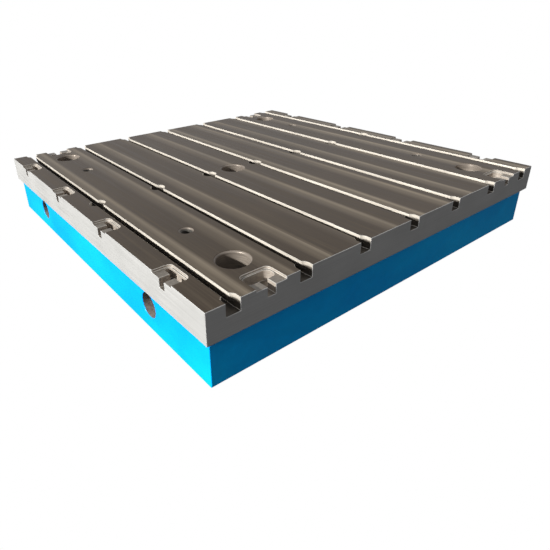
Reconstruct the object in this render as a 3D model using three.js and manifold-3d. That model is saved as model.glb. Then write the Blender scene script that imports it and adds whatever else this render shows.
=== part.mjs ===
// T-slotted cast-iron bed plate, 2000 x 2000 x 300 mm, with five levelling sets.
// Units are millimetres. The origin is the middle of the underside, +Z is up,
// and the T-slots run along Y. The casting is divided into simple bodies: the lands of the
// slotted deck, the rim below it, the painted skirt, the ribs and the bosses.

import * as THREE from 'three';
import { mergeVertices } from 'three/addons/utils/BufferGeometryUtils.js';
import Module from 'manifold-3d';

const wasm = await Module();
wasm.setup();

// ---- driving dimensions ----
const SIZE = 2000;                 // side of the square plate
const HEIGHT = 300;                // underside to working surface
const GAP = 0.3;                   // air between touching bodies
const HALF = SIZE / 2;

const BAND = 120;                  // height of the machined edge band
const BEVEL = 18;                  // 45 degree bevel below the band, and the skirt's inset
const DECK = 80;                   // thickness of the slotted deck
const WALL = 30;                   // thickness of the skirt wall
const DECK_Z = HEIGHT - DECK;      // underside of the deck
const BAND_Z = HEIGHT - BAND;      // lower edge of the band
const SKIRT_Z = BAND_Z - BEVEL;    // top of the skirt
const SKIRT_OUT = HALF - BEVEL;    // outer face of the skirt
const SKIRT_IN = SKIRT_OUT - WALL; // inner face of the skirt

const PITCH = 300;                 // T-slot spacing across the plate
const SLOT_X = [-3, -2, -1, 0, 1, 2, 3].map((n) => n * PITCH);
const THROAT = 28;                 // T-slot width at the surface
const TEE = 50;                    // T-slot width at the bottom
const TEE_H = 20;                  // height of the wide part
const SLOT_DEPTH = 48;
const MOUTH = 54;                  // width of the widened slot ends
const MOUTH_LONG = 45;             // how far a widened end runs in
const ENTRY_R = 34;                // T-nut entry bore at mid length
const SLOT_Z = HEIGHT - SLOT_DEPTH;

const POCKET_W = 124;              // joining pocket, along the edge
const POCKET_STEP = 9;             // depth of its shallow recess
const POCKET_WALL = 42;            // wall that the joining bolt clamps
const POCKET_LEDGE = 6;            // step left around the deep bay
const POCKET_R = 20;               // corner radius
const END_POCKET = 96;             // length into the plate, slot-end faces
const SIDE_POCKET = 72;            // length into the plate, long faces
const NOTCH = 33;                  // width of the bolt notch through the wall
const NOTCH_DEPTH = 45;
const END_POCKET_X = [-750, 750];
const SIDE_POCKET_Y = [-750, -250, 250, 750];

const ANCHOR_R = 60;               // foundation bolt holes
const ANCHORS = [[-750, -800], [750, -800], [-750, 800], [750, 800], [-150, 0]];
const EYEBOLT_R = 24;              // threaded holes for eyebolts
const EYEBOLT_DEEP = 62;
const EYEBOLTS = [[-750, -500], [750, -500], [-750, 500], [750, 500]];
const CHAMFER = 6;                 // round the anchor and eyebolt holes

const RIB = 22;                    // rib thickness
const RIB_FOOT = 30;               // lower edge of the ribs
const LONG_RIB_X = [-600, -300, 0, 300, 600];
const CROSS_RIB_Y = [-680, -220, 220, 680];
const LAP_Z = (RIB_FOOT + DECK_Z) / 2;

const LIFT_R = 50;                 // lifting holes through the side walls
const LIFT_Y = [-590, 590];
const LIFT_Z = 103;
const LIFT_BOSS_R = 72;
const LIFT_BOSS_T = 25;
const CORE_R = 55;                 // holes in the long ribs, in line with them

const BOSS_R = 90;                 // anchor boss
const SEAT_Z = 120;                // shoulder that the lock nut bears on
const SCREW_R = 36;                // levelling screw, M72
const SCREW_BORE_R = 17;           // passage for the foundation bolt
const RUNNING = 0.5;               // radial clearance of turning parts
const SCREW_Z = [26, 168];         // threaded length of the levelling screw
const HEX_R = 34;                  // hexagon at the head of the screw, across corners / 2
const HEX_H = 24;
const TIP_R = 28;                  // journal that turns in the foot pad
const TIP_Z = 12;
const NUT_R = 52;
const NUT_H = 22;
const NUT_SLOT = 12;
const PAD_R = 70;
const PAD_Z = [2, 24];
const PAD_BORE_R = 20;

const ROUND = 20;                  // sides of a small cylinder
const BIG_ROUND = 28;
const CORNER_STEPS = 3;            // segments in a rounded corner
const PAST = 1;                    // how far a cutter runs past the face it opens

const materials = {
  machined: new THREE.MeshStandardMaterial({ color: 0x6a6156, roughness: 0.35, metalness: 0.85 }),
  band: new THREE.MeshStandardMaterial({ color: 0xb9b9b4, roughness: 0.5, metalness: 0.7 }),
  paint: new THREE.MeshStandardMaterial({ color: 0x16a9e6, roughness: 0.4, metalness: 0.0 }),
  cast: new THREE.MeshStandardMaterial({ color: 0x5b5049, roughness: 0.85, metalness: 0.3 }),
  steel: new THREE.MeshStandardMaterial({ color: 0x8f9194, roughness: 0.35, metalness: 0.9 }),
  blackened: new THREE.MeshStandardMaterial({ color: 0x33322f, roughness: 0.55, metalness: 0.7 }),
};

// ---- geometry in, solid out ----
function solidOf(geometry) {
  geometry.deleteAttribute('normal');
  geometry.deleteAttribute('uv');
  const merged = mergeVertices(geometry, 1e-4);
  const mesh = new wasm.Mesh({
    numProp: 3,
    vertProperties: new Float32Array(merged.attributes.position.array),
    triVerts: new Uint32Array(merged.index.array),
  });
  return new wasm.Manifold(mesh);
}

function geometryOf(solid) {
  const { vertProperties, triVerts } = solid.getMesh();
  const geometry = new THREE.BufferGeometry();
  geometry.setAttribute('position', new THREE.BufferAttribute(vertProperties, 3));
  geometry.setIndex(new THREE.BufferAttribute(triVerts, 1));
  return geometry;
}

const join = (solids) => solids.reduce((whole, next) => whole.add(next));
const cut = (solid, cutters) => solid.subtract(join(cutters));

// ---- basic shapes, placed by their limits ----
function boxShape([x0, x1], [y0, y1], [z0, z1]) {
  const geometry = new THREE.BoxGeometry(x1 - x0, y1 - y0, z1 - z0);
  return geometry.translate((x0 + x1) / 2, (y0 + y1) / 2, (z0 + z1) / 2);
}

const box = (x, y, z) => solidOf(boxShape(x, y, z));

// A frustum, cylinder or regular prism on a vertical axis, from z0 to z1.
function coneShape(x, y, [z0, z1], r0, r1, sides) {
  const geometry = new THREE.CylinderGeometry(r1, r0, z1 - z0, sides);
  return geometry.rotateX(Math.PI / 2).translate(x, y, (z0 + z1) / 2);
}

const cone = (x, y, z, r0, r1, sides = ROUND) => solidOf(coneShape(x, y, z, r0, r1, sides));
const rod = (x, y, z, r, sides = ROUND) => cone(x, y, z, r, r, sides);

// A cylinder on an axis along X.
function crossRod([x0, x1], y, z, r, sides = ROUND) {
  const geometry = new THREE.CylinderGeometry(r, r, x1 - x0, sides);
  return solidOf(geometry.rotateZ(Math.PI / 2).translate((x0 + x1) / 2, y, z));
}

// A square frustum on the plate's own axis, by its half sides.
function squareFrustum([z0, z1], half0, half1) {
  const geometry = new THREE.CylinderGeometry(half1 * Math.SQRT2, half0 * Math.SQRT2, z1 - z0, 4);
  geometry.rotateY(Math.PI / 4).rotateX(Math.PI / 2);
  return solidOf(geometry.translate(0, 0, (z0 + z1) / 2));
}

function prismShape(shape, [z0, z1], curveSegments = CORNER_STEPS) {
  const options = { depth: z1 - z0, bevelEnabled: false, curveSegments };
  return new THREE.ExtrudeGeometry(shape, options).translate(0, 0, z0);
}

// A rectangle whose two far corners are rounded: u from -half to half, v from near to far.
function roundedTab(half, near, far, r) {
  const shape = new THREE.Shape();
  shape.moveTo(-half, near);
  shape.lineTo(half, near);
  shape.lineTo(half, far - r);
  shape.absarc(half - r, far - r, r, 0, Math.PI / 2);
  shape.absarc(r - half, far - r, r, Math.PI / 2, Math.PI);
  shape.lineTo(-half, near);
  return shape;
}

// Each face of the plate, as a turn about Z that takes the front face (-Y) there.
const FACES = { front: 0, right: Math.PI / 2, back: Math.PI, left: -Math.PI / 2 };

// Puts a shape drawn at the middle of the front face, with +Y inwards, on another face.
function onFace(geometry, face, along) {
  return geometry.translate(along, -HALF, 0).rotateZ(FACES[face]);
}

// ---- the slotted deck ----
function tSlot(x) {
  const through = [-HALF - PAST, HALF + PAST];
  const open = [SLOT_Z, HEIGHT + PAST];
  const mouth = roundedTab(MOUTH / 2, -PAST, MOUTH_LONG, MOUTH / 2 - 0.01);
  const mouths = [['front', x], ['back', -x]].map(([face, along]) =>
    solidOf(onFace(prismShape(mouth, open), face, along)));
  return join([
    box([x - THROAT / 2, x + THROAT / 2], through, open),
    box([x - TEE / 2, x + TEE / 2], through, [SLOT_Z, SLOT_Z + TEE_H]),
    rod(x, 0, open, ENTRY_R, BIG_ROUND),
    ...mouths,
  ]);
}

// A joining pocket: a shallow recess, a deep bay behind a wall, and a notch through the wall.
function joiningPocket(face, along, length) {
  const recess = roundedTab(POCKET_W / 2, -PAST, length, POCKET_R);
  const bayHalf = POCKET_W / 2 - POCKET_LEDGE;
  const bayR = Math.min(POCKET_R, (length - POCKET_LEDGE - POCKET_WALL) / 2 - 1);
  const bay = roundedTab(bayHalf, POCKET_WALL, length - POCKET_LEDGE, bayR);
  const notch = boxShape([-NOTCH / 2, NOTCH / 2], [-PAST, POCKET_WALL + PAST],
    [HEIGHT - NOTCH_DEPTH, HEIGHT + PAST]);
  return join([
    prismShape(recess, [HEIGHT - POCKET_STEP, HEIGHT + PAST]),
    prismShape(bay, [SLOT_Z, HEIGHT + PAST]),
    notch,
  ].map((shape) => solidOf(onFace(shape, face, along))));
}

function hole([x, y], z0, r, sides) {
  const mouth = cone(x, y, [HEIGHT - CHAMFER, HEIGHT + PAST], r, r + CHAMFER + PAST, sides);
  return rod(x, y, [z0, HEIGHT + PAST], r, sides).add(mouth);
}

function deck() {
  const plate = box([-HALF, HALF], [-HALF, HALF], [DECK_Z, HEIGHT]);
  const slots = SLOT_X.map(tSlot);
  const pockets = ['front', 'back'].flatMap((face) =>
    END_POCKET_X.map((along) => joiningPocket(face, along, END_POCKET)));
  pockets.push(...['left', 'right'].flatMap((face) =>
    SIDE_POCKET_Y.map((along) => joiningPocket(face, along, SIDE_POCKET))));
  const anchors = ANCHORS.map((at) => hole(at, DECK_Z - PAST, ANCHOR_R, BIG_ROUND));
  const eyebolts = EYEBOLTS.map((at) => hole(at, HEIGHT - EYEBOLT_DEEP, EYEBOLT_R, ROUND));
  return cut(plate, [...slots, ...pockets, ...anchors, ...eyebolts]);
}

// The part of the deck between two limits along X and two along Y, less half the gap at each.
function deckPart(whole, x, y) {
  const inset = ([low, high]) => [low + GAP / 2, high - GAP / 2];
  return whole.intersect(box(inset(x), inset(y), [DECK_Z - PAST, HEIGHT + PAST]));
}

// The deck is divided along the middle of each T-slot. The land with the middle anchor hole
// is in four parts that meet on the axis of the hole.
function deckParts(whole) {
  const edge = HALF + GAP / 2;
  const seams = [-edge, ...SLOT_X, edge];
  const [holeX, holeY] = ANCHORS[ANCHORS.length - 1];
  const parts = {};
  for (let n = 1; n < seams.length; n += 1) {
    const [left, right] = [seams[n - 1], seams[n]];
    if (left < holeX && holeX < right) {
      parts[`land_${n}_front_left`] = deckPart(whole, [left, holeX], [-edge, holeY]);
      parts[`land_${n}_front_right`] = deckPart(whole, [holeX, right], [-edge, holeY]);
      parts[`land_${n}_back_left`] = deckPart(whole, [left, holeX], [holeY, edge]);
      parts[`land_${n}_back_right`] = deckPart(whole, [holeX, right], [holeY, edge]);
    } else {
      parts[`land_${n}`] = deckPart(whole, [left, right], [-edge, edge]);
    }
  }
  return parts;
}

// ---- rim and skirt: square rings, each in four mitred sides ----
function ringSide(ring, face) {
  const offset = GAP / Math.SQRT2;
  const wedge = new THREE.Shape([
    new THREE.Vector2(0, -offset),
    new THREE.Vector2(-SIZE, -SIZE - offset),
    new THREE.Vector2(SIZE, -SIZE - offset),
  ]);
  return ring.intersect(solidOf(prismShape(wedge, [-PAST, HEIGHT]).rotateZ(FACES[face])));
}

function rimRing() {
  const top = DECK_Z - GAP;
  const outer = squareFrustum([SKIRT_Z, BAND_Z], SKIRT_OUT, HALF)
    .add(box([-HALF, HALF], [-HALF, HALF], [BAND_Z, top]));
  const inside = [-SKIRT_IN, SKIRT_IN];
  return outer.subtract(box(inside, inside, [SKIRT_Z - PAST, top + PAST]));
}

function skirtRing() {
  const top = SKIRT_Z - GAP;
  const outside = [-SKIRT_OUT, SKIRT_OUT];
  const inside = [-SKIRT_IN, SKIRT_IN];
  const holes = LIFT_Y.map((y) => crossRod([-HALF, HALF], y, LIFT_Z, LIFT_R, BIG_ROUND));
  return cut(box(outside, outside, [0, top]), [box(inside, inside, [-PAST, top + PAST]), ...holes]);
}

function liftingBoss(side, y) {
  const reach = [SKIRT_IN - GAP - LIFT_BOSS_T, SKIRT_IN - GAP];
  const x = side < 0 ? [-reach[1], -reach[0]] : reach;
  const bore = crossRod([x[0] - PAST, x[1] + PAST], y, LIFT_Z, LIFT_R, BIG_ROUND);
  return crossRod(x, y, LIFT_Z, LIFT_BOSS_R, BIG_ROUND).subtract(bore);
}

// ---- ribs, half-lapped where they cross ----
const ribLength = [-SKIRT_IN + GAP, SKIRT_IN - GAP];
const ribHeight = [RIB_FOOT, DECK_Z - GAP];
const ribWidth = (at) => [at - RIB / 2, at + RIB / 2];
const lapWidth = (at) => [at - RIB / 2 - GAP, at + RIB / 2 + GAP];

function longRib(x) {
  const laps = CROSS_RIB_Y.map((y) =>
    box(lapWidth(x), lapWidth(y), [LAP_Z - GAP / 2, DECK_Z]));
  const cores = LIFT_Y.map((y) => crossRod(lapWidth(x), y, LIFT_Z, CORE_R));
  return cut(box(ribWidth(x), ribLength, ribHeight), [...laps, ...cores]);
}

function crossRib(y) {
  const under = [RIB_FOOT - PAST, LAP_Z + GAP / 2];
  const laps = LONG_RIB_X.map((x) => box(lapWidth(x), lapWidth(y), under));
  return cut(box(ribLength, ribWidth(y), ribHeight), laps);
}

// ---- one levelling set, on the axis of an anchor hole ----
function anchorBoss(x, y) {
  return cut(rod(x, y, ribHeight, BOSS_R, BIG_ROUND), [
    rod(x, y, [SEAT_Z, DECK_Z], ANCHOR_R, BIG_ROUND),
    rod(x, y, [RIB_FOOT - PAST, SEAT_Z + PAST], SCREW_R + RUNNING),
  ]);
}

function lockNut(x, y) {
  const z = [SEAT_Z + GAP, SEAT_Z + GAP + NUT_H];
  const tall = [z[0] - PAST, z[1] + PAST];
  const near = NUT_R - NUT_SLOT / 2;
  const slots = [
    [[x + near, x + NUT_R + PAST], [y - NUT_SLOT / 2, y + NUT_SLOT / 2]],
    [[x - NUT_R - PAST, x - near], [y - NUT_SLOT / 2, y + NUT_SLOT / 2]],
    [[x - NUT_SLOT / 2, x + NUT_SLOT / 2], [y + near, y + NUT_R + PAST]],
    [[x - NUT_SLOT / 2, x + NUT_SLOT / 2], [y - NUT_R - PAST, y - near]],
  ];
  const bore = rod(x, y, tall, SCREW_R + RUNNING);
  return cut(rod(x, y, z, NUT_R), [bore, ...slots.map(([u, v]) => box(u, v, tall))]);
}

function levellingScrew(x, y) {
  const [low, high] = SCREW_Z;
  const lead = 4;
  const body = join([
    rod(x, y, [TIP_Z + GAP, low + PAST], TIP_R),
    cone(x, y, [low, low + lead], SCREW_R - lead, SCREW_R),
    rod(x, y, [low + lead, high], SCREW_R),
    rod(x, y, [high - PAST, high + HEX_H], HEX_R, 6),
  ]);
  return body.subtract(rod(x, y, [0, HEIGHT], SCREW_BORE_R));
}

function footPad(x, y) {
  const [low, high] = PAD_Z;
  const edge = 5;
  const body = rod(x, y, [low, high - edge], PAD_R)
    .add(cone(x, y, [high - edge, high], PAD_R, PAD_R - edge));
  return cut(body, [
    rod(x, y, [TIP_Z, high + PAST], TIP_R + RUNNING),
    rod(x, y, [low - PAST, high], PAD_BORE_R),
  ]);
}

// ---- assembly ----
const assembly = new THREE.Group();

function add(name, solid, material) {
  const mesh = new THREE.Mesh(geometryOf(solid), material);
  mesh.name = name;
  assembly.add(mesh);
}

for (const [name, solid] of Object.entries(deckParts(deck()))) {
  add(`deck_${name}`, solid, materials.machined);
}

const rim = rimRing();
const skirt = skirtRing();
for (const face of Object.keys(FACES)) {
  add(`rim_${face}`, ringSide(rim, face), materials.band);
  add(`skirt_${face}`, ringSide(skirt, face), materials.paint);
}

LONG_RIB_X.forEach((x, n) => add(`long_rib_${n + 1}`, longRib(x), materials.cast));
CROSS_RIB_Y.forEach((y, n) => add(`cross_rib_${n + 1}`, crossRib(y), materials.cast));

for (const [side, name] of [[-1, 'left'], [1, 'right']]) {
  LIFT_Y.forEach((y, n) => add(`lifting_boss_${name}_${n + 1}`, liftingBoss(side, y), materials.cast));
}

ANCHORS.forEach(([x, y], n) => {
  add(`anchor_boss_${n + 1}`, anchorBoss(x, y), materials.cast);
  add(`lock_nut_${n + 1}`, lockNut(x, y), materials.blackened);
  add(`levelling_screw_${n + 1}`, levellingScrew(x, y), materials.steel);
  add(`foot_pad_${n + 1}`, footPad(x, y), materials.steel);
});

export default assembly;
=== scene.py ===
"""Looks of the T-slotted floor plate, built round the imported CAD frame. Units are metres."""

import math

import bmesh
import bpy
from mathutils import Matrix, Vector


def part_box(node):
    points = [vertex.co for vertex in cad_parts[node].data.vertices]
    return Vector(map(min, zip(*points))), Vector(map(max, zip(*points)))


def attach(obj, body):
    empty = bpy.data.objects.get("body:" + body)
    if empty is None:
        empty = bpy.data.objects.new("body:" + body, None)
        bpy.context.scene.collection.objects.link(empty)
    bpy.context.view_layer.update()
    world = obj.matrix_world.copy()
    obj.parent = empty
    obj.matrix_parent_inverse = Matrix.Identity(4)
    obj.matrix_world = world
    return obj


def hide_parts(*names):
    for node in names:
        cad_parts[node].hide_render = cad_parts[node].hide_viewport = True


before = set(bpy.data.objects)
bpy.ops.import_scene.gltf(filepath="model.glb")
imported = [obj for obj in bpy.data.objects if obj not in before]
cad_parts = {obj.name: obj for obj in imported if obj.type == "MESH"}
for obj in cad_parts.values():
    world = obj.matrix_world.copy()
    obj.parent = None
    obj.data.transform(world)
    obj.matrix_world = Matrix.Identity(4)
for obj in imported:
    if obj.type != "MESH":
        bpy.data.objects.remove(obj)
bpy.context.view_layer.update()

# ---- driving dimensions, as in the CAD ----
HALF = 1.0
HEIGHT = 0.300
BAND_Z = 0.180
SKIRT_Z = 0.162
SKIRT_OUT = 0.982
SKIRT_IN = 0.952
DECK_Z = 0.220
SLOT_X = [0.3 * n for n in range(-3, 4)]
SLOT_Z = 0.252
THROAT = 0.014
TEE = 0.025
TEE_TOP = 0.272
MOUTH = 0.027
MOUTH_LONG = 0.045
ENTRY_R = 0.034
POCKET = 0.062
POCKET_Z = 0.291
POCKET_WALL = 0.042
LEDGE = 0.006
CORNER = 0.020
NOTCH_CORNER = 0.003
NOTCH = 0.0165
NOTCH_Z = 0.255
POCKETS = [("front", -0.75, 0.096), ("front", 0.75, 0.096),
           ("back", -0.75, 0.096), ("back", 0.75, 0.096)]
POCKETS += [(face, along, 0.072) for face in ("left", "right") for along in (-0.75, -0.25, 0.25, 0.75)]
FACE_TURN = {"front": 0, "right": math.pi / 2, "back": math.pi, "left": -math.pi / 2}
ANCHORS = [(-0.75, -0.80), (0.75, -0.80), (-0.75, 0.80), (0.75, 0.80), (-0.15, 0.0)]
ANCHOR_R = 0.060
CHAMFER = 0.006
EYEBOLTS = [(-0.75, -0.5), (0.75, -0.5), (-0.75, 0.5), (0.75, 0.5)]
EYEBOLT_R = 0.024
EYEBOLT_Z = 0.238
RIB = 0.011
RIB_FOOT = 0.030
LONG_RIB_X = [-0.6, -0.3, 0.0, 0.3, 0.6]
CROSS_RIB_Y = [-0.68, -0.22, 0.22, 0.68]
LIFT_Y = [-0.59, 0.59]
LIFT_Z = 0.103
LIFT_R = 0.050
LIFT_BOSS_R = 0.072
LIFT_BOSS_T = 0.025
LIFT_FROM = 0.90             # where the bore of a lifting hole ends, inside the plate
CORE_R = 0.055
CORE_END = 0.65              # the cored holes go through every long rib
BOSS_R = 0.090
SEAT_Z = 0.120
SCREW_BORE = 0.0362
FINE = 48                    # sides of a round feature
PAST = 0.002                 # how far a cutter runs past the face it opens
NEAR = 0.002                 # how far a face may lie from the feature it belongs to
EDGE_BREAK = 0.0013          # width of the broken edges of the machined body
SPLIT = 0.0003               # keeps faces of shapes that are joined out of one plane


# ---- closed shapes, as (vertices, faces) ----
def loft(rings, caps=True, closed=False):
    """Quads between equal rings of points, with a flat cap on each end."""
    count = len(rings[0])
    last = len(rings) - 1
    faces = []
    for k in range(last + 1 if closed else last):
        here, there = k * count, (k + 1) % (last + 1) * count
        for i in range(count):
            j = (i + 1) % count
            faces.append((here + i, here + j, there + j, there + i))
    if caps and not closed:
        faces.append(tuple(reversed(range(count))))
        faces.append(tuple(range(last * count, (last + 1) * count)))
    return [point for ring in rings for point in ring], faces


def prism(outline, z0, z1):
    return loft([[(x, y, z) for x, y in outline] for z in (z0, z1)])


def box(x, y, z):
    return prism([(x[0], y[0]), (x[1], y[0]), (x[1], y[1]), (x[0], y[1])], *z)


def square_ring(half, z):
    return [(-half, -half, z), (half, -half, z), (half, half, z), (-half, half, z)]


def circle(x, y, z, r, sides=FINE):
    angles = [2 * math.pi * i / sides for i in range(sides)]
    return [(x + r * math.cos(a), y + r * math.sin(a), z) for a in angles]


def turned(x, y, profile, sides=FINE, closed=False):
    """A shape turned about a vertical axis from (radius, z) points."""
    return loft([circle(x, y, z, r, sides) for r, z in profile], closed=closed)


def rod(x, y, z0, z1, r, sides=FINE):
    return turned(x, y, [(r, z0), (r, z1)], sides)


def cross_rod(x0, x1, y, z, r, sides=FINE):
    vertices, faces = turned(0, 0, [(r, x0), (r, x1)], sides)
    return [(w, y + u, z + v) for u, v, w in vertices], faces


def arc(x, y, r, start, end, steps):
    angles = [start + (end - start) * i / steps for i in range(steps + 1)]
    return [(x + r * math.cos(a), y + r * math.sin(a)) for a in angles]


def rounded_tab(half, near, far, r, steps=6):
    """A rectangle from near to far whose two far corners are rounded."""
    right = arc(half - r, far - r, r, 0, math.pi / 2, steps)
    left = arc(r - half, far - r, r, math.pi / 2, math.pi, steps)
    return [(-half, near), (half, near)] + right + left


def on_face(shape, face, along):
    """Puts a shape drawn at the middle of the front face, with +Y inwards, on another face."""
    turn = Matrix.Rotation(FACE_TURN[face], 3, "Z")
    vertices, faces = shape
    return [tuple(turn @ Vector((x + along, y - HALF, z))) for x, y, z in vertices], faces


# ---- pieces ----
def mesh_of(name, shapes, weld=0.0):
    """One mesh from separate closed shapes, with its faces turned outwards."""
    bm = bmesh.new()
    for vertices, faces in shapes:
        made = [bm.verts.new(point) for point in vertices]
        for face in faces:
            bm.faces.new([made[i] for i in face])
    if weld:
        bmesh.ops.remove_doubles(bm, verts=bm.verts, dist=weld)
    bmesh.ops.recalc_face_normals(bm, faces=bm.faces)
    mesh = bpy.data.meshes.new(name)
    bm.to_mesh(mesh)
    bm.free()
    return mesh


def piece_of(name, shapes, weld=0.0):
    piece = bpy.data.objects.new(name, mesh_of(name, shapes, weld))
    bpy.context.scene.collection.objects.link(piece)
    return piece


def apply_modifiers(piece):
    bpy.context.view_layer.update()
    evaluated = piece.evaluated_get(bpy.context.evaluated_depsgraph_get())
    mesh = bpy.data.meshes.new_from_object(evaluated)
    piece.modifiers.clear()
    old = piece.data
    piece.data = mesh
    bpy.data.meshes.remove(old)


def boolean(piece, operation, shapes):
    tool = piece_of("tool", shapes)
    modifier = piece.modifiers.new("boolean", "BOOLEAN")
    modifier.operation = operation
    modifier.solver = "MANIFOLD"
    modifier.object = tool
    apply_modifiers(piece)
    bpy.data.objects.remove(tool)


def merge_flat_faces(piece, angle=math.radians(0.5)):
    bm = bmesh.new()
    bm.from_mesh(piece.data)
    bmesh.ops.remove_doubles(bm, verts=bm.verts, dist=2e-6)
    bmesh.ops.dissolve_limit(bm, angle_limit=angle, verts=bm.verts, edges=bm.edges)
    bm.to_mesh(piece.data)
    bm.free()


def round_edges(piece, width, segments=1, clamp=False, over=40):
    modifier = piece.modifiers.new("edges", "BEVEL")
    modifier.width = width
    modifier.segments = segments
    modifier.limit_method = "ANGLE"
    modifier.angle_limit = math.radians(over)
    modifier.use_clamp_overlap = clamp
    apply_modifiers(piece)


def finish_piece(piece, body, materials, choose=None, replaced=(), smooth_under=34):
    """Gives a piece its materials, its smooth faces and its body.

    choose names the material of a face from its centre and its normal.
    """
    mesh = piece.data
    mesh.materials.clear()
    for material in materials:
        mesh.materials.append(material)
    for polygon in mesh.polygons:
        polygon.use_smooth = True
        if choose:
            polygon.material_index = materials.index(choose(polygon.center, polygon.normal))
    mesh.set_sharp_from_angle(angle=math.radians(smooth_under))
    weighted = piece.modifiers.new("flat faces stay flat", "WEIGHTED_NORMAL")
    weighted.keep_sharp = True
    apply_modifiers(piece)
    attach(piece, body)
    if replaced:
        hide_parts(*replaced)


# ---- material building ----
class Graph:
    """Short names for the shader nodes of one material."""

    def __init__(self, name, color, metallic, roughness, **sockets):
        self.material = bpy.data.materials.new(name)
        self.material.use_nodes = True
        self.tree = self.material.node_tree
        self.shader = self.tree.nodes["Principled BSDF"]
        self.shader.inputs["Base Color"].default_value = (*color, 1)
        self.shader.inputs["Metallic"].default_value = metallic
        self.shader.inputs["Roughness"].default_value = roughness
        for socket, value in sockets.items():
            self.shader.inputs[socket.replace("_", " ")].default_value = value
        self.position = self.add("ShaderNodeTexCoord").outputs["Object"]
        split = self.add("ShaderNodeSeparateXYZ", [self.position])
        self.x, self.y, self.z = split.outputs

    def add(self, kind, inputs=(), **settings):
        node = self.tree.nodes.new(kind)
        for key, value in settings.items():
            setattr(node, key, value)
        for index, value in enumerate(inputs):
            if value is None:
                continue
            if isinstance(value, bpy.types.NodeSocket):
                self.tree.links.new(value, node.inputs[index])
            else:
                node.inputs[index].default_value = value
        return node

    def math(self, operation, *values):
        return self.add("ShaderNodeMath", values, operation=operation).outputs[0]

    def noise(self, scale, detail=3.0, roughness=0.5):
        """Noise over the position in metres, times a scale along each axis."""
        where = self.add("ShaderNodeVectorMath", [self.position, scale], operation="MULTIPLY")
        node = self.add("ShaderNodeTexNoise")
        self.tree.links.new(where.outputs[0], node.inputs["Vector"])
        node.inputs["Scale"].default_value = 1.0
        node.inputs["Detail"].default_value = detail
        node.inputs["Roughness"].default_value = roughness
        return node.outputs[0]

    def noise_of(self, number):
        """A level of its own for each value of a number."""
        node = self.add("ShaderNodeTexNoise", noise_dimensions="1D")
        self.tree.links.new(number, node.inputs["W"])
        node.inputs["Scale"].default_value = 1.0
        node.inputs["Detail"].default_value = 0.0
        return node.outputs[0]

    def ramp(self, value, stops, interpolation="LINEAR"):
        node = self.add("ShaderNodeValToRGB", [value])
        ramp = node.color_ramp
        ramp.interpolation = interpolation
        while len(ramp.elements) < len(stops):
            ramp.elements.new(0.5)
        for element, (position, color) in zip(ramp.elements, stops):
            element.position = position
            element.color = (*color, 1) if isinstance(color, tuple) else (color, color, color, 1)
        return node.outputs[0]

    def spread(self, value, low, high, from_low=0.3, from_high=0.7):
        """Maps the useful middle of a noise to a range."""
        node = self.add("ShaderNodeMapRange", [value, from_low, from_high, low, high])
        return node.outputs[0]

    def mix(self, share, first, second, blend="MIX"):
        node = self.add("ShaderNodeMix", data_type="RGBA", blend_type=blend)
        for index, value in ((0, share), (6, first), (7, second)):
            if isinstance(value, bpy.types.NodeSocket):
                self.tree.links.new(value, node.inputs[index])
            elif isinstance(value, tuple):
                node.inputs[index].default_value = (*value, 1)
            else:
                node.inputs[index].default_value = value
        return node.outputs[2]

    def bump(self, height, distance, strength=1.0):
        node = self.add("ShaderNodeBump")
        node.inputs["Strength"].default_value = strength
        node.inputs["Distance"].default_value = distance
        self.tree.links.new(height, node.inputs["Height"])
        self.tree.links.new(node.outputs[0], self.shader.inputs["Normal"])

    def link(self, socket, value):
        self.tree.links.new(value, self.shader.inputs[socket])


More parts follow.
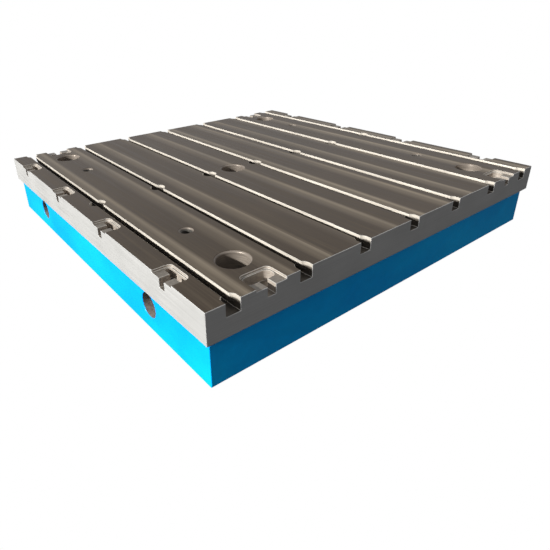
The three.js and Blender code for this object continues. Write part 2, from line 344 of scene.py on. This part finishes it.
def milled_top():
    """Working surface: wide face-milling passes along the slots, each painted brighter at its +X edge: a
    painted highlight where the low side light would catch each pass.
    """
    pass_width, first_edge, cutter_r, feed_step = 0.18, -0.84, 0.11, 0.0035
    g = Graph("milled working surface", (0.1, 0.09, 0.08), 0.55, 0.4)
    pass_at = g.math("DIVIDE", g.math("SUBTRACT", g.x, first_edge), pass_width)
    share = g.math("FRACT", pass_at)
    number = g.math("FLOOR", pass_at)
    # painted highlight: each pass ramps up to bright at its +X edge and falls dark just past it
    painted_pass_sheen = g.ramp(share, [(0.0, 0.85), (0.10, 0.05), (0.60, 0.0), (0.86, 0.45), (1.0, 1.0)], "EASE")
    per_pass = g.spread(g.noise_of(g.math("MULTIPLY", number, 7.31)), 0.45, 1.0)
    along = g.spread(g.noise((2.2, 0.9, 1.0), 2.0), 0.55, 1.1)
    streaks = g.noise((95.0, 1.4, 1.0), 4.0, 0.6)
    fine = g.noise((420.0, 5.0, 1.0), 3.0, 0.6)
    cloud = g.noise((3.0, 3.0, 3.0), 3.0, 0.55)
    # painted reflection: the painted highlight is made stronger towards -Y and weaker towards +Y
    painted_reflection_falloff = g.add("ShaderNodeMapRange", [g.y, -1.0, 1.0, 1.12, 0.78]).outputs[0]
    painted_pass_sheen = g.math("MULTIPLY", g.math("MULTIPLY", painted_pass_sheen, per_pass), g.math("MULTIPLY", along, painted_reflection_falloff))
    # tool streaks are added onto the painted highlight
    painted_pass_sheen = g.math("ADD", painted_pass_sheen, g.spread(streaks, -0.10, 0.12))
    # the painted highlight and streaks pick between dark iron and lit, bright iron
    color = g.mix(painted_pass_sheen, (0.071, 0.051, 0.032), (0.345, 0.288, 0.210))
    stain = g.ramp(cloud, [(0.3, (0.62, 0.60, 0.58)), (0.7, (1.0, 0.96, 0.90))])
    color = g.mix(0.35, color, stain, "MULTIPLY")
    color = g.mix(0.30, color, g.ramp(fine, [(0.3, 0.72), (0.7, 1.0)]), "MULTIPLY")
    g.link("Base Color", color)
    g.link("Roughness", g.spread(streaks, 0.34, 0.50))
    inset = g.math("MULTIPLY", g.math("SUBTRACT", share, 0.5), pass_width)
    reach = g.math("SQRT", g.math("SUBTRACT", cutter_r ** 2, g.math("MULTIPLY", inset, inset)))
    feed = g.math("SINE", g.math("MULTIPLY", g.math("ADD", g.y, reach), 2 * math.pi / feed_step))
    height = g.math("ADD", g.math("MULTIPLY", feed, 0.25), streaks)
    g.bump(g.math("ADD", height, g.math("MULTIPLY", fine, 0.5)), 0.00006, 0.6)
    return g.material


def machined(name, dark, light, grain, metallic, roughness, bump=0.00008, painted_shade_below=None):
    """A milled face whose tool marks run across the tightly spaced direction of grain. Below a given height
    its colour fades into a dark painted shade.
    """
    g = Graph(name, light, metallic, roughness)
    marks = g.noise(grain, 4.0, 0.6)
    cloud = g.noise((5.0, 5.0, 5.0), 3.0)
    tone = g.math("ADD", g.math("MULTIPLY", marks, 0.7), g.math("MULTIPLY", cloud, 0.5))
    color = g.ramp(tone, [(0.38, dark), (0.80, light)])
    # painted shade: below this height the wall is painted dark, where the shadow of the slot's lip falls
    if painted_shade_below:
        outside_painted_shade = g.add("ShaderNodeMapRange", [g.z, painted_shade_below - 0.006, painted_shade_below, 0.0, 1.0]).outputs[0]
        color = g.mix(outside_painted_shade, PAINTED_SLOT_SHADE, color)
    g.link("Base Color", color)
    g.link("Roughness", g.spread(marks, roughness - 0.07, roughness + 0.09))
    g.bump(marks, bump, 0.7)
    return g.material


def painted():
    """Blue enamel sprayed over filled and rubbed-down sand casting."""
    g = Graph("blue enamel", (0.004, 0.34, 0.86), 0.0, 0.32, Coat_Weight=0.08, Coat_Roughness=0.15)
    g.shader.inputs["Specular IOR Level"].default_value = 0.22
    cloud = g.noise((2.6, 2.6, 4.0), 3.0)
    peel = g.noise((170.0, 170.0, 170.0), 3.0, 0.55)
    casting = g.noise((24.0, 24.0, 30.0), 4.0, 0.5)
    color = g.ramp(cloud, [(0.30, (0.001, 0.36, 0.90)), (0.70, (0.002, 0.47, 1.0))])
    g.link("Base Color", g.mix(0.22, color, g.ramp(casting, [(0.3, 0.72), (0.7, 1.0)]), "MULTIPLY"))
    g.link("Roughness", g.spread(peel, 0.26, 0.42))
    g.bump(g.math("ADD", g.math("MULTIPLY", casting, 3.0), g.math("MULTIPLY", peel, 0.5)), 0.0006, 0.6)
    return g.material


def rough_casting():
    """Sand-cast iron under one coat of red-brown primer."""
    g = Graph("primed sand casting", (0.17, 0.085, 0.055), 0.0, 0.8)
    sand = g.noise((260.0, 260.0, 260.0), 4.0, 0.65)
    lumps = g.noise((34.0, 34.0, 34.0), 4.0, 0.55)
    stain = g.noise((6.0, 6.0, 8.0), 4.0, 0.6)
    primer = [(0.30, (0.10, 0.052, 0.038)), (0.52, (0.19, 0.088, 0.055)), (0.74, (0.26, 0.14, 0.09))]
    color = g.ramp(stain, primer)
    g.link("Base Color", g.mix(0.5, color, g.ramp(sand, [(0.3, 0.55), (0.7, 1.0)]), "MULTIPLY"))
    g.link("Roughness", g.spread(sand, 0.68, 0.92))
    g.bump(g.math("ADD", g.math("MULTIPLY", lumps, 2.0), g.math("MULTIPLY", sand, 0.6)), 0.0012, 0.8)
    return g.material


def steel(name, dark, light, roughness, metallic=0.9):
    """Turned steel with fine rings round the axis and a little handling stain."""
    g = Graph(name, light, metallic, roughness)
    rings = g.noise((6.0, 6.0, 900.0), 3.0, 0.6)
    stain = g.noise((28.0, 28.0, 28.0), 4.0, 0.6)
    g.link("Base Color", g.ramp(stain, [(0.3, dark), (0.7, light)]))
    g.link("Roughness", g.spread(rings, roughness - 0.08, roughness + 0.12))
    g.bump(rings, 0.00005, 0.6)
    return g.material


# dark colour painted as shade on the lower slot walls
PAINTED_SLOT_SHADE = (0.085, 0.074, 0.062)

TOP = milled_top()
BAND = machined("milled edge band", (0.42, 0.42, 0.41), (0.53, 0.53, 0.52),
                grain=(3.0, 3.0, 240.0), metallic=0.25, roughness=0.5, bump=0.00003)
# painted shade: the slot walls darken from 10 mm below the top downwards
WALL = machined("milled slot wall", (0.46, 0.42, 0.36), (0.74, 0.69, 0.61),
                grain=(40.0, 6.0, 300.0), metallic=0.3, roughness=0.42, painted_shade_below=HEIGHT - 0.010)
# painted shade: a much darker copy of the milled wall, for the floors and undersides deep in the slots and
# holes
PAINTED_SHADE_SLOT_FLOOR = machined("milled slot floor", (0.050, 0.044, 0.036), (0.12, 0.105, 0.088),
                      grain=(300.0, 5.0, 40.0), metallic=0.3, roughness=0.5)
POCKET_SIDE = machined("end-milled pocket wall", (0.24, 0.205, 0.172), (0.50, 0.445, 0.385),
                       grain=(90.0, 90.0, 220.0), metallic=0.3, roughness=0.45)
RECESS = machined("end-milled recess", (0.12, 0.105, 0.088), (0.25, 0.225, 0.19),
                  grain=(130.0, 130.0, 40.0), metallic=0.4, roughness=0.4)
BORED = machined("bored hole", (0.13, 0.108, 0.090), (0.34, 0.295, 0.25),
                 grain=(12.0, 12.0, 520.0), metallic=0.45, roughness=0.4)
EDGE = machined("broken edge", (0.42, 0.40, 0.36), (0.62, 0.59, 0.54),
                grain=(60.0, 60.0, 60.0), metallic=0.4, roughness=0.4)
CORED = machined("rough-bored lifting hole", (0.16, 0.13, 0.11), (0.42, 0.37, 0.32),
                 grain=(60.0, 90.0, 90.0), metallic=0.1, roughness=0.6, bump=0.0004)
PAINT = painted()
CAST = rough_casting()
BRIGHT = steel("turned steel", (0.30, 0.30, 0.30), (0.50, 0.50, 0.49), 0.34)
BLACK = steel("oil-blackened steel", (0.028, 0.027, 0.026), (0.060, 0.058, 0.055), 0.45, 0.7)
THREAD = steel("cut thread in iron", (0.10, 0.095, 0.085), (0.22, 0.205, 0.185), 0.42, 0.7)


# ---- the machined body of the casting: deck, rim, slots, pockets and holes ----
def slot_cutter(x):
    section = [(x - TEE, SLOT_Z), (x + TEE, SLOT_Z), (x + TEE, TEE_TOP), (x + THROAT, TEE_TOP),
               (x + THROAT, HEIGHT + PAST), (x - THROAT, HEIGHT + PAST),
               (x - THROAT, TEE_TOP), (x - TEE, TEE_TOP)]
    return loft([[(u, y, w) for u, w in section] for y in (-HALF - PAST, HALF + PAST)])


def notch_cutter(face, along):
    """The notch that a joining bolt drops into, with milled corners at its bottom."""
    r = NOTCH_CORNER
    section = [(NOTCH, HEIGHT + PAST), (-NOTCH, HEIGHT + PAST)]
    section += arc(r - NOTCH, NOTCH_Z + r, r, math.pi, 1.5 * math.pi, 3)
    section += arc(NOTCH - r, NOTCH_Z + r, r, 1.5 * math.pi, 2 * math.pi, 3)
    shape = loft([[(u, v, w) for u, w in section] for v in (-PAST, POCKET_WALL + PAST)])
    return on_face(shape, face, along)


def bay_outline(length):
    """The deep part of a joining pocket, behind the wall that the bolts clamp."""
    r = min(CORNER, (length - LEDGE - POCKET_WALL) / 2 - 0.001)
    u = POCKET - LEDGE
    far = length - LEDGE
    corners = [(r - u, POCKET_WALL + r), (u - r, POCKET_WALL + r), (u - r, far - r), (r - u, far - r)]
    outline = []
    for (x, y), quarter in zip(corners, (2, 3, 0, 1)):
        outline += arc(x, y, r, quarter * math.pi / 2, (quarter + 1) * math.pi / 2, 5)
    return outline


def machined_body():
    """Deck and rim as one block, with everything cut into it that opens upwards."""
    rings = [square_ring(half, z) for half, z in (
        (SKIRT_IN, DECK_Z), (SKIRT_IN, SKIRT_Z), (SKIRT_OUT, SKIRT_Z), (HALF, BAND_Z), (HALF, HEIGHT))]
    body = piece_of("machined_top", [loft(rings)])
    top = HEIGHT + PAST
    boolean(body, "DIFFERENCE", [slot_cutter(x) for x in SLOT_X])
    mouth = prism(rounded_tab(MOUTH, -PAST, MOUTH_LONG, MOUTH - 0.0001, 10), SLOT_Z, top)
    openings = [on_face(mouth, face, x) for face in ("front", "back") for x in SLOT_X]
    openings += [rod(x, 0, SLOT_Z, top, ENTRY_R) for x in SLOT_X]
    openings += [on_face(prism(rounded_tab(POCKET, -PAST, length, CORNER), POCKET_Z, top), face, along)
                 for face, along, length in POCKETS]
    openings += [rod(x, y, DECK_Z - PAST, top, ANCHOR_R, 64) for x, y in ANCHORS]
    openings += [rod(x, y, EYEBOLT_Z, top, EYEBOLT_R, 40) for x, y in EYEBOLTS]
    boolean(body, "DIFFERENCE", openings)
    boolean(body, "DIFFERENCE", [on_face(prism(bay_outline(length), SLOT_Z, top), face, along)
                                 for face, along, length in POCKETS])
    last = [notch_cutter(face, along) for face, along, _ in POCKETS]
    for holes, r, sides in ((ANCHORS, ANCHOR_R, 64), (EYEBOLTS, EYEBOLT_R, 40)):
        cone = [(r - 0.001, HEIGHT - CHAMFER - 0.001), (r + CHAMFER + PAST, top)]
        last += [turned(x, y, cone, sides) for x, y in holes]
    boolean(body, "DIFFERENCE", last)
    merge_flat_faces(body)
    round_edges(body, EDGE_BREAK)
    return body


def near_hole(x, y):
    """Whether a point belongs to an anchor hole or an eyebolt hole."""
    return min(math.hypot(x - u, y - v) for u, v in ANCHORS + EYEBOLTS) < ANCHOR_R + CHAMFER + NEAR


def in_pocket(x, y):
    """Whether a point at the slots' depth or above belongs to a joining pocket."""
    for face, along, length in POCKETS:
        turn = Matrix.Rotation(-FACE_TURN[face], 3, "Z")
        u, v, _ = turn @ Vector((x, y, 0))
        if abs(u - along) < POCKET + NEAR and v < length + NEAR - HALF:
            return True
    return False


def top_material(centre, normal):
    x, y, z = centre
    reach = max(abs(x), abs(y))
    inside = reach < HALF - 2 * EDGE_BREAK
    if z < BAND_Z - EDGE_BREAK / 2:
        return PAINT if reach > SKIRT_OUT - NEAR else CAST
    if z < DECK_Z + EDGE_BREAK / 2 and inside:
        return CAST
    if abs(normal.z) > 0.9:
        if z > HEIGHT - EDGE_BREAK / 2:
            return TOP
        # deep horizontal faces get the floor colour that is painted dark as shade
        return RECESS if z > POCKET_Z - EDGE_BREAK / 2 or in_pocket(x, y) else PAINTED_SHADE_SLOT_FLOOR
    if near_hole(x, y):
        return BORED
    if not inside:
        return BAND
    if abs(normal.z) > 0.2:
        return EDGE
    return POCKET_SIDE if in_pocket(x, y) else WALL


MACHINED_NODES = [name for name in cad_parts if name.startswith(("deck_", "rim_"))]
body = machined_body()
finish_piece(body, "plate",
             [TOP, BAND, WALL, PAINTED_SHADE_SLOT_FLOOR, RECESS, BORED, PAINT, CAST, EDGE, POCKET_SIDE],
             top_material, MACHINED_NODES)


# ---- painted skirt ----
def in_lifting_hole(centre):
    x, y, z = centre
    return abs(x) > LIFT_FROM and min(math.hypot(y - v, z - LIFT_Z) for v in LIFT_Y) < LIFT_R + NEAR


def lifting_bores():
    return [cross_rod(side * LIFT_FROM, side * HALF, y, LIFT_Z, LIFT_R, 64)
            for side in (-1, 1) for y in LIFT_Y]


def skirt():
    top = SKIRT_Z - 0.0002
    profile = [(SKIRT_OUT, 0.0), (SKIRT_OUT, top), (SKIRT_IN, top), (SKIRT_IN, 0.0)]
    piece = piece_of("painted_skirt", [loft([square_ring(half, z) for half, z in profile], closed=True)])
    boolean(piece, "DIFFERENCE", lifting_bores())
    merge_flat_faces(piece)
    round_edges(piece, 0.0035, 3)
    return piece


def skirt_material(centre, normal):
    x, y, z = centre
    if max(abs(x), abs(y)) > SKIRT_OUT - 0.006 or z < 0.003:
        return PAINT
    return CORED if in_lifting_hole(centre) else CAST


SKIRT_NODES = [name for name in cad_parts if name.startswith("skirt_")]
finish_piece(skirt(), "plate", [PAINT, CAST, CORED], skirt_material, SKIRT_NODES, 50)


# ---- ribs and bosses, cast in one with the walls ----
def interior():
    """Ribs, anchor bosses and the rings behind the lifting holes, as one casting."""
    reach = SKIRT_IN + 0.001
    root = DECK_Z + 0.001
    piece = piece_of("cast_ribs", [box((x - RIB, x + RIB), (-reach, reach), (RIB_FOOT, root))
                                   for x in LONG_RIB_X])
    wide = reach + SPLIT
    boolean(piece, "UNION", [box((-wide, wide), (y - RIB, y + RIB), (RIB_FOOT, root + SPLIT))
                             for y in CROSS_RIB_Y])
    bosses = [rod(x, y, RIB_FOOT - 0.0004, root + 0.0008, BOSS_R, 56) for x, y in ANCHORS]
    ring = (SKIRT_IN - LIFT_BOSS_T, reach + 2 * SPLIT)
    bosses += [cross_rod(side * ring[0], side * ring[1], y, LIFT_Z, LIFT_BOSS_R)
               for side in (-1, 1) for y in LIFT_Y]
    boolean(piece, "UNION", bosses)
    bores = [turned(x, y, [(SCREW_BORE, RIB_FOOT - 0.01), (SCREW_BORE, SEAT_Z),
                           (ANCHOR_R, SEAT_Z), (ANCHOR_R, DECK_Z + 0.01)]) for x, y in ANCHORS]
    bores += lifting_bores()
    bores += [cross_rod(-CORE_END, CORE_END, y, LIFT_Z, CORE_R) for y in LIFT_Y]
    boolean(piece, "DIFFERENCE", bores)
    merge_flat_faces(piece)
    round_edges(piece, 0.005, 2, clamp=True, over=50)
    return piece


def interior_material(centre, normal):
    x, y, z = centre
    off_axis = min(math.hypot(x - u, y - v) for u, v in ANCHORS)
    if off_axis < ANCHOR_R + 0.0005 and z > RIB_FOOT + 0.002:
        return BORED
    return CORED if in_lifting_hole(centre) else CAST


RIB_NODES = [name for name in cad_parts
             if name.startswith(("long_rib_", "cross_rib_", "lifting_boss_", "anchor_boss_"))]
finish_piece(interior(), "plate", [CAST, BORED, CORED], interior_material, RIB_NODES, 50)


# ---- threads ----
THREAD_FORM = ((0.0, 1.0), (0.125, 1.0), (0.4375, 0.0), (0.6875, 0.0))   # share of pitch, of height


def thread(x, y, low, high, crest, root, end, pitch, run_out, sides=FINE):
    """A right-hand helical thread between two plain circles of radius end."""
    first = math.floor(low / pitch) - 2
    last = math.ceil(high / pitch) + 2
    rows = []
    for turn in range(first, last):
        for share, height in THREAD_FORM:
            row = []
            for i in range(sides):
                angle = 2 * math.pi * i / sides
                z = min(max((turn + share + i / sides) * pitch, low), high)
                fade = min(1.0, min(z - low, high - z) / run_out)
                r = end + (root + (crest - root) * height - end) * fade
                row.append((x + r * math.cos(angle), y + r * math.sin(angle), z))
            rows.append(row)
    ahead = len(THREAD_FORM)
    faces = []
    for k in range(len(rows) - ahead - 1):
        for i in range(sides):
            step = (k * sides + i + 1) if i + 1 < sides else (k + ahead) * sides
            faces.append((k * sides + i, step, step + sides, (k + 1) * sides + i))
    return [point for row in rows for point in row], faces


def drop_loose(piece):
    """Takes away what a thread leaves where it runs out: unused points and edges without length."""
    bm = bmesh.new()
    bm.from_mesh(piece.data)
    bmesh.ops.delete(bm, geom=[v for v in bm.verts if not v.link_faces], context="VERTS")
    bmesh.ops.dissolve_degenerate(bm, edges=bm.edges, dist=1e-6)
    bmesh.ops.recalc_face_normals(bm, faces=bm.faces)
    bm.to_mesh(piece.data)
    bm.free()


def hexagon(x, y, z, corner, limit=None, sides=FINE):
    """A ring of points on a hexagon, cut back to a circle of radius limit."""
    ring = []
    for i in range(sides):
        angle = 2 * math.pi * i / sides
        flat = corner * math.cos(math.pi / 6)
        r = flat / math.cos((angle % (math.pi / 3)) - math.pi / 6)
        r = min(r, limit) if limit else r
        ring.append((x + r * math.cos(angle), y + r * math.sin(angle), z))
    return ring


BREAK = 0.0015               # broken edges of the turned pieces
PITCH = 0.006
SCREW_LOW, SCREW_HIGH = 0.026, 0.168
SCREW_CREST, SCREW_ROOT = 0.0360, 0.03275
THREAD_PLAY = 0.0003
SCREW_HOLE = 0.017
TIP_R = 0.028
HEX_CORNER, HEX_TOP = 0.034, 0.192
EYEBOLT_MINOR, EYEBOLT_PITCH = 0.0213, 0.0050


def levelling_screw(x, y):
    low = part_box("levelling_screw_1")[0].z
    rings = [circle(x, y, SCREW_HIGH, SCREW_ROOT),
             hexagon(x, y, SCREW_HIGH, HEX_CORNER, 0.0322),
             hexagon(x, y, SCREW_HIGH + 0.0012, HEX_CORNER),
             hexagon(x, y, HEX_TOP - 0.0022, HEX_CORNER),
             hexagon(x, y, HEX_TOP, HEX_CORNER, 0.0300)]
    lower = [(SCREW_HOLE + BREAK, HEX_TOP), (SCREW_HOLE, HEX_TOP - BREAK), (SCREW_HOLE, low + BREAK),
             (SCREW_HOLE + BREAK, low), (TIP_R - 0.002, low), (TIP_R, low + 0.002),
             (TIP_R, SCREW_LOW - 0.001), (TIP_R + 0.001, SCREW_LOW), (SCREW_ROOT, SCREW_LOW)]
    rings += [circle(x, y, z, r) for r, z in lower]
    helix = thread(x, y, SCREW_LOW, SCREW_HIGH, SCREW_CREST, SCREW_ROOT, SCREW_ROOT, PITCH, 0.005)
    return [loft(rings, caps=False), helix]


def lock_nut(x, y):
    """A slotted round nut: the outline steps in at four spanner slots."""
    low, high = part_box("lock_nut_1")[0].z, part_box("lock_nut_1")[1].z
    outer, slot_floor, slot_half = 0.052, 0.045, 0.006
    sides = 96

    def outline(z, shrink=0.0):
        ring = []
        for i in range(sides):
            angle = 2 * math.pi * i / sides
            quarter = (angle + math.pi / 4) % (math.pi / 2) - math.pi / 4
            r = outer - shrink
            if abs(math.sin(quarter)) * outer < slot_half + 1e-4:
                r = slot_floor
            ring.append((x + r * math.cos(angle), y + r * math.sin(angle), z))
        return ring

    major, minor = SCREW_CREST + THREAD_PLAY, SCREW_ROOT + THREAD_PLAY
    rings = [circle(x, y, low, major, sides), outline(low, BREAK), outline(low + BREAK),
             outline(high - BREAK), outline(high, BREAK), circle(x, y, high, major, sides)]
    helix = thread(x, y, low, high, major, minor, major, PITCH, 0.002, sides)
    return [loft(rings, caps=False), helix]


def foot_pad(x, y):
    """A disc with a chamfered rim and a seat turned into it for the screw's tip."""
    low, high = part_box("foot_pad_1")[0].z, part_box("foot_pad_1")[1].z
    profile = [(0.0212, low), (0.0685, low), (0.070, low + 0.0015), (0.070, high - 0.005),
               (0.0692, high - 0.0036), (0.0664, high - 0.0008), (0.065, high), (0.0300, high),
               (0.0285, high - 0.0015), (0.0285, 0.0128), (0.0277, 0.012), (0.0212, 0.012),
               (0.020, 0.0108), (0.020, low + 0.0012)]
    return [turned(x, y, profile, 64, closed=True)]


def eyebolt_thread(x, y):
    """A thin sleeve let into the hole's wall, threaded on its inside."""
    low, high = EYEBOLT_Z + 0.0005, HEIGHT - CHAMFER - 0.0005
    major, outer = EYEBOLT_R - 0.0001, EYEBOLT_R + 0.0004
    rings = [circle(x, y, z, r, 40) for r, z in ((major, low), (outer, low), (outer, high), (major, high))]
    helix = thread(x, y, low, high, major, EYEBOLT_MINOR, major, EYEBOLT_PITCH, 0.002, 40)
    return [loft(rings, caps=False), helix]


for n, (x, y) in enumerate(ANCHORS, 1):
    sets = (("screw_with_thread", levelling_screw, f"screw_{n}", "bright_steel", BRIGHT, "levelling_screw"),
            ("slotted_lock_nut", lock_nut, "plate", "blackened_steel", BLACK, "lock_nut"),
            ("turned_foot_pad", foot_pad, f"foot_{n}", "bright_steel", BRIGHT, "foot_pad"))
    for name, make, rides, slot, material, node in sets:
        piece = piece_of(f"{name}_{n}", make(x, y), weld=2e-6)
        drop_loose(piece)
        finish_piece(piece, rides, [material], None, [f"{node}_{n}"])

for n, (x, y) in enumerate(EYEBOLTS, 1):
    piece = piece_of(f"eyebolt_thread_{n}", eyebolt_thread(x, y), weld=2e-6)
    drop_loose(piece)
    finish_piece(piece, "plate", [THREAD])


# ---- camera, on the near left corner and a little above the plate ----
CAMERA_PLACE = (-1.5742, -1.9359, 1.0716)
YAW, PITCH_DOWN, ROLL = math.radians(36.94), math.radians(25.51), math.radians(-1.610)
LENS, SHIFT = 30.95, (0.0648, -0.0789)


def add_camera():
    level_ahead = Vector((math.sin(YAW), math.cos(YAW), 0))
    level_right = Vector((math.cos(YAW), -math.sin(YAW), 0))
    ahead = math.cos(PITCH_DOWN) * level_ahead - math.sin(PITCH_DOWN) * Vector((0, 0, 1))
    above = level_right.cross(ahead)
    right = math.cos(ROLL) * level_right + math.sin(ROLL) * above
    up = math.cos(ROLL) * above - math.sin(ROLL) * level_right
    turn = Matrix((right, up, -ahead)).transposed().to_4x4()
    data = bpy.data.cameras.new("camera")
    data.sensor_width = 36
    data.lens = LENS
    data.shift_x, data.shift_y = SHIFT
    camera = bpy.data.objects.new("camera", data)
    camera.matrix_world = Matrix.Translation(CAMERA_PLACE) @ turn
    bpy.context.scene.collection.objects.link(camera)
    bpy.context.scene.camera = camera


add_camera()

# ---- pale floor, low side light and soft surroundings ----
FLOOR_HALF, FLOOR_Z = 40, -0.03          # below the foot pads at their lowest
SUN_LOW = math.radians(20.5)


def add_floor():
    """A white ground that only the camera sees, so that it neither lights nor shades the plate."""
    floor = piece_of("floor", [(square_ring(FLOOR_HALF, FLOOR_Z), [(0, 1, 2, 3)])])
    material = bpy.data.materials.new("pale floor")
    material.use_nodes = True
    sockets = material.node_tree.nodes["Principled BSDF"].inputs
    sockets["Base Color"].default_value = (0.0, 0.0, 0.0, 1)
    sockets["Specular IOR Level"].default_value = 0.0
    sockets["Emission Color"].default_value = (1, 1, 1, 1)
    sockets["Emission Strength"].default_value = 1.0
    floor.data.materials.append(material)
    floor.visible_diffuse = False
    floor.visible_glossy = False
    floor.visible_shadow = False


def add_sun():
    data = bpy.data.lights.new("low sun", "SUN")
    data.energy = 6.4
    data.angle = math.radians(3.5)
    data.color = (1.0, 0.985, 0.955)
    sun = bpy.data.objects.new("low sun", data)
    shines = Vector((math.cos(SUN_LOW), 0.0, -math.sin(SUN_LOW)))
    sun.rotation_mode = "QUATERNION"
    sun.rotation_quaternion = shines.to_track_quat("-Z", "Y")
    bpy.context.scene.collection.objects.link(sun)


def add_surroundings():
    """White behind the plate, and for its light a dim sky that is brighter on the far side."""
    world = bpy.data.worlds.new("soft studio")
    world.use_nodes = True
    nodes, links = world.node_tree.nodes, world.node_tree.links
    nodes.clear()
    output = nodes.new("ShaderNodeOutputWorld")
    mixed = nodes.new("ShaderNodeMixShader")
    path = nodes.new("ShaderNodeLightPath")
    white = nodes.new("ShaderNodeBackground")
    sky = nodes.new("ShaderNodeBackground")
    where = nodes.new("ShaderNodeTexCoord")
    split = nodes.new("ShaderNodeSeparateXYZ")
    height = nodes.new("ShaderNodeValToRGB")
    height.color_ramp.elements[0].position = 0.42
    height.color_ramp.elements[0].color = (0.03, 0.03, 0.03, 1)
    height.color_ramp.elements[1].position = 0.56
    height.color_ramp.elements[1].color = (0.385, 0.385, 0.395, 1)
    lifted = nodes.new("ShaderNodeMath")
    lifted.operation = "MULTIPLY_ADD"
    lifted.inputs[1].default_value = 0.5
    lifted.inputs[2].default_value = 0.5
    side = nodes.new("ShaderNodeVectorMath")
    side.operation = "DOT_PRODUCT"
    side.inputs[1].default_value = (0.55, 0.83, 0.0)
    gain = nodes.new("ShaderNodeMapRange")
    for index, value in ((1, -0.3), (2, 0.9), (3, 0.9), (4, 1.7)):
        gain.inputs[index].default_value = value
    white.inputs["Color"].default_value = (1, 1, 1, 1)
    links.new(where.outputs["Generated"], split.inputs[0])
    links.new(split.outputs[2], lifted.inputs[0])
    links.new(lifted.outputs[0], height.inputs[0])
    links.new(where.outputs["Generated"], side.inputs[0])
    links.new(side.outputs["Value"], gain.inputs[0])
    links.new(height.outputs[0], sky.inputs["Color"])
    links.new(gain.outputs[0], sky.inputs["Strength"])
    links.new(path.outputs["Is Camera Ray"], mixed.inputs[0])
    links.new(sky.outputs[0], mixed.inputs[1])
    links.new(white.outputs[0], mixed.inputs[2])
    links.new(mixed.outputs[0], output.inputs[0])
    bpy.context.scene.world = world


add_floor()
add_sun()
add_surroundings()
bpy.context.scene.view_settings.view_transform = "Standard"
